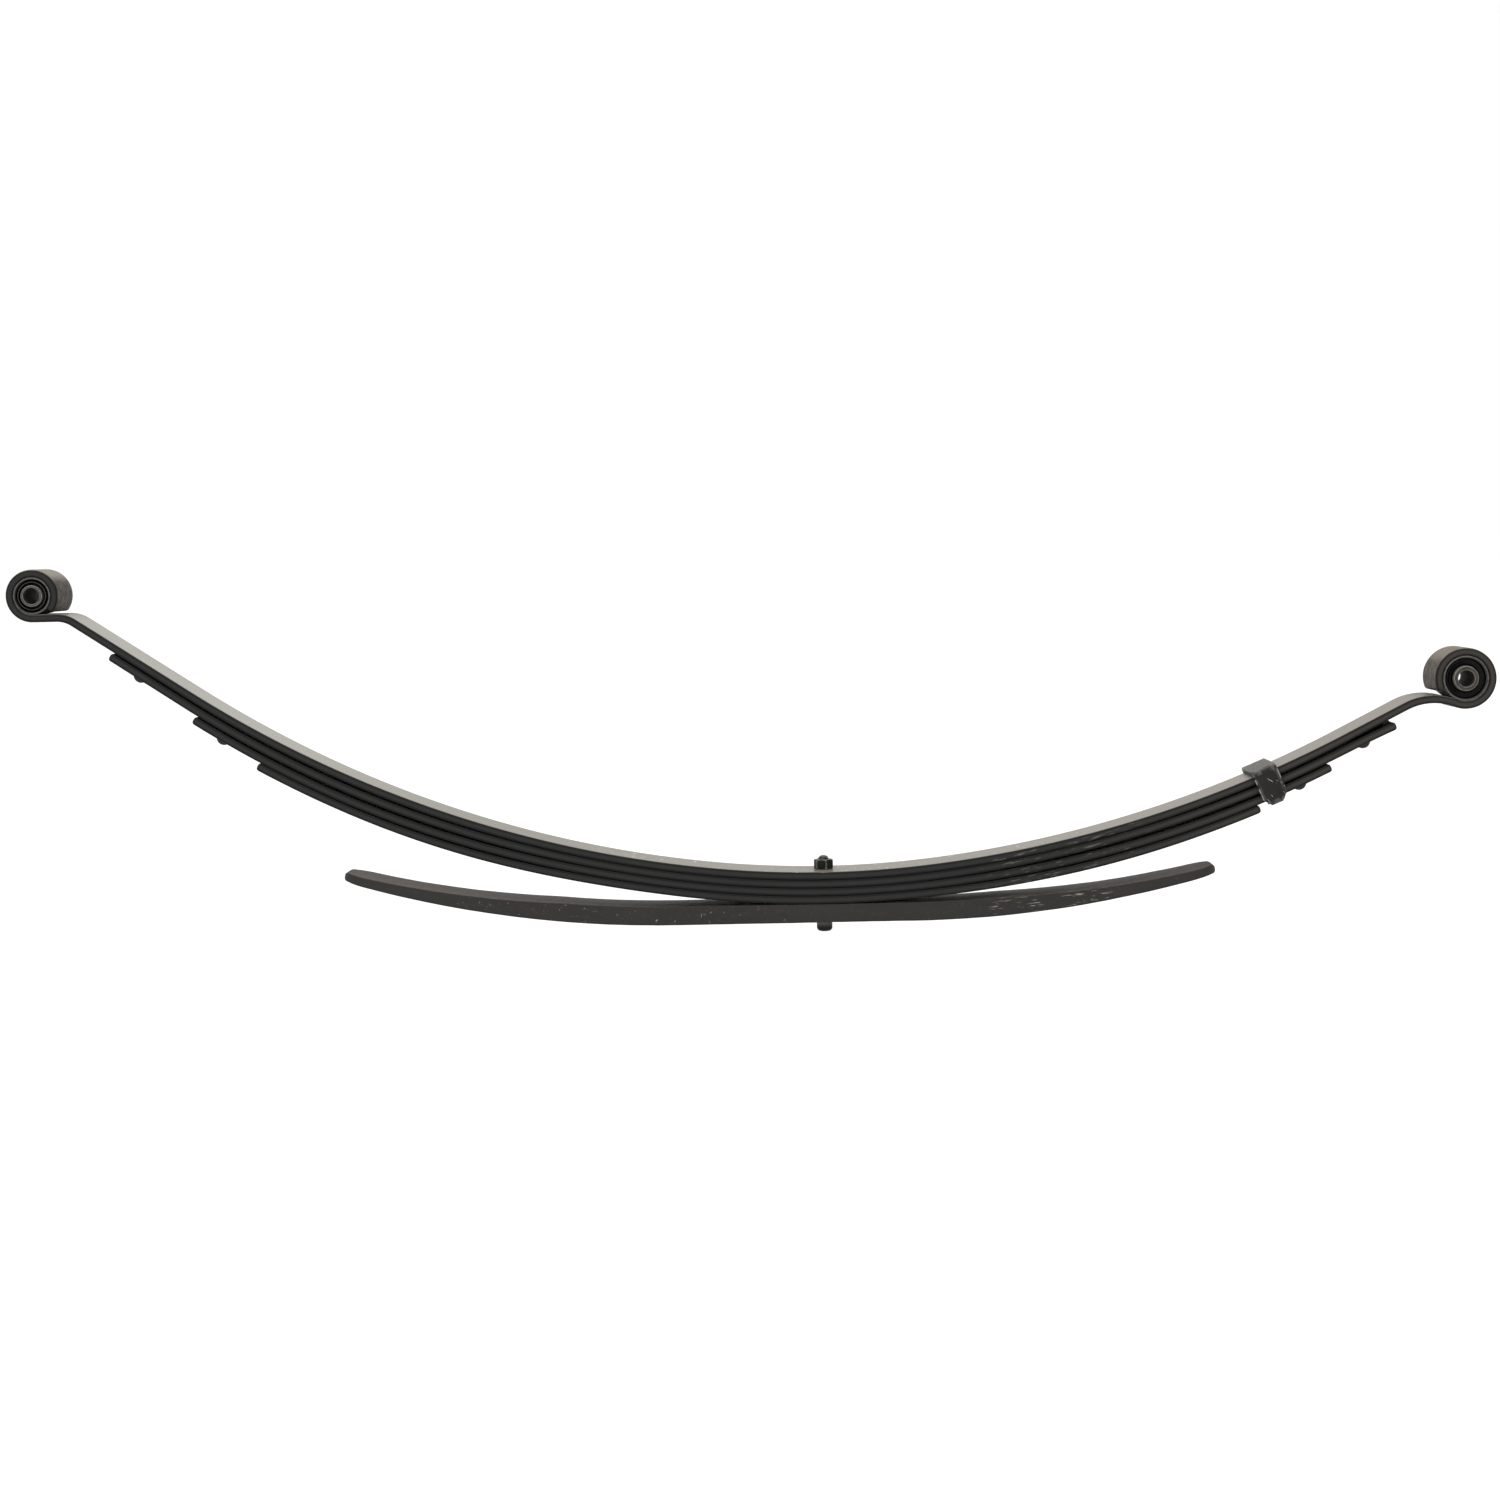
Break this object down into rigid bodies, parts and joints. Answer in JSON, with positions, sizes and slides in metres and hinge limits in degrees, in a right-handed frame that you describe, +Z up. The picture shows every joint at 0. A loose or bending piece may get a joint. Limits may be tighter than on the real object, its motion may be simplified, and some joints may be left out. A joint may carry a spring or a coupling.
{
  "type": "leaf spring",
  "caption": "Multi-leaf vehicle spring with a thick overload leaf, an upturned rubber-bushed eye at each end, tip liners, a rebound clip and a centre bolt.",
  "frame": {"origin": "on the centre-bolt axis, at the flat underside of the overload leaf that sits on the axle", "axes": "+X towards the front eye (the short half), +Z up towards the eyes, Y across the leaves"},
  "size_m": [1.4893, 0.075, 0.3835],
  "materials": {
    "leaf_paint": "satin dark paint, dusty on the top faces",
    "forged_steel": "rough scaled surface with rust tones and scratches",
    "bolt_steel": "semi-matt black with worn edges",
    "bush_shell": "dark steel with a bright cut edge",
    "bush_rubber": "smooth, slightly glossy",
    "sleeve_steel": "brownish turned steel",
    "liner_plastic": "matt black moulding",
    "clip_steel": "dark paint with bright worn edges"
  },
  "bodies": {
    "pack": {"main_leaf": "leaf_paint", "second_leaf": "leaf_paint", "third_leaf": "leaf_paint", "fourth_leaf": "leaf_paint", "overload_leaf": "forged_steel", "center_bolt": "bolt_steel", "center_nut": "bolt_steel"},
    "rear_end": {"rear_bush_shell": "bush_shell", "rear_bush_rubber": "bush_rubber", "second_leaf_rear_liner": "liner_plastic", "third_leaf_rear_liner": "liner_plastic"},
    "rear_sleeve": {"rear_bush_sleeve": "sleeve_steel"},
    "front_end": {"front_bush_shell": "bush_shell", "front_bush_rubber": "bush_rubber", "second_leaf_front_liner": "liner_plastic", "third_leaf_front_liner": "liner_plastic", "rebound_clip": "clip_steel"},
    "front_sleeve": {"front_bush_sleeve": "sleeve_steel"}
  },
  "joints": [
    {"name": "rear_flex", "type": "hinge", "parent": "pack", "child": "rear_end", "pos_m": [-0.237, 0, 0.063], "axis": [0, -1, 0], "range_deg": [-2.5, 13], "stiffness_Nm_per_rad": 2800, "deforming": ["main_leaf", "second_leaf", "third_leaf", "fourth_leaf"]},
    {"name": "front_flex", "type": "hinge", "parent": "pack", "child": "front_end", "pos_m": [0.197, 0, 0.055], "axis": [0, 1, 0], "range_deg": [-2.5, 9], "stiffness_Nm_per_rad": 3300, "deforming": ["main_leaf", "second_leaf", "third_leaf", "fourth_leaf"]},
    {"name": "rear_bush_twist", "type": "hinge", "parent": "rear_end", "child": "rear_sleeve", "pos_m": [-0.7886, 0, 0.345], "axis": [0, 1, 0], "range_deg": [-20, 20], "stiffness_Nm_per_rad": 100},
    {"name": "front_bush_twist", "type": "hinge", "parent": "front_end", "child": "front_sleeve", "pos_m": [0.6436, 0, 0.2326], "axis": [0, 1, 0], "range_deg": [-20, 20], "stiffness_Nm_per_rad": 140}
  ]
}
